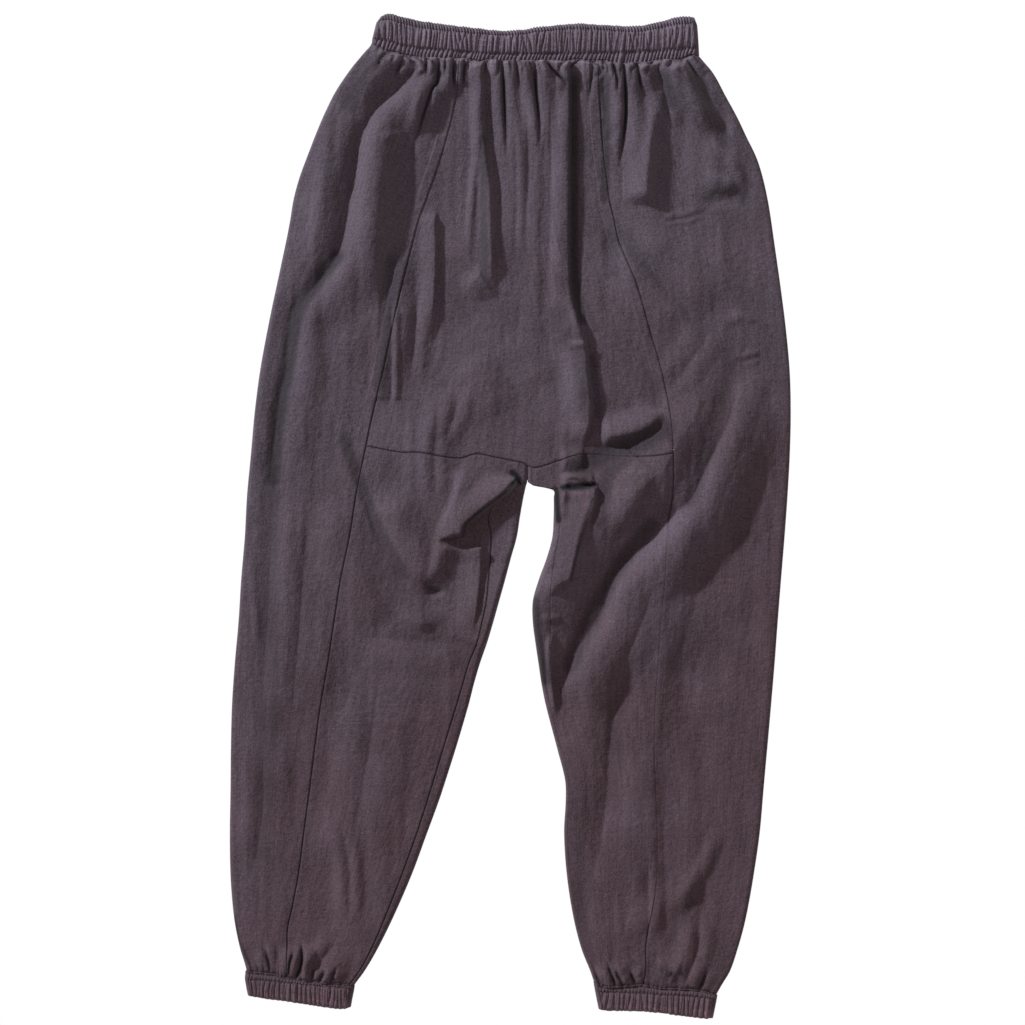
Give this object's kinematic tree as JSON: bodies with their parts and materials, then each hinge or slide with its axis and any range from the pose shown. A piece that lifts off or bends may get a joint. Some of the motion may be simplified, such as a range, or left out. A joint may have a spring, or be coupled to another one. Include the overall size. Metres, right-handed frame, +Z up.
{
  "type": "drop-crotch jogger pants laid flat",
  "caption": "Loose drop-crotch jogger pants in plain woven cloth, lying flat, with a gathered elastic waistband and gathered elastic cuffs.",
  "frame": {"origin": "on the surface the pants lie on, under the middle of their outline", "axes": "+Y towards the waistband, +X across the front to the right of someone looking down on it, +Z up out of the cloth"},
  "size_m": [0.5306, 0.9514, 0.0201],
  "materials": {
    "cloth": "matte plain weave in dusty mauve grey, lightly slubbed and crinkled"
  },
  "bodies": {
    "root": {"waistband": "cloth", "front_centre_panel": "cloth", "back_centre_panel": "cloth", "side_panel_left": "cloth", "side_panel_right": "cloth", "front_inner_leg_left": "cloth", "front_inner_leg_right": "cloth", "back_inner_leg_left": "cloth", "back_inner_leg_right": "cloth", "cuff_left": "cloth", "cuff_right": "cloth"}
  },
  "joints": []
}
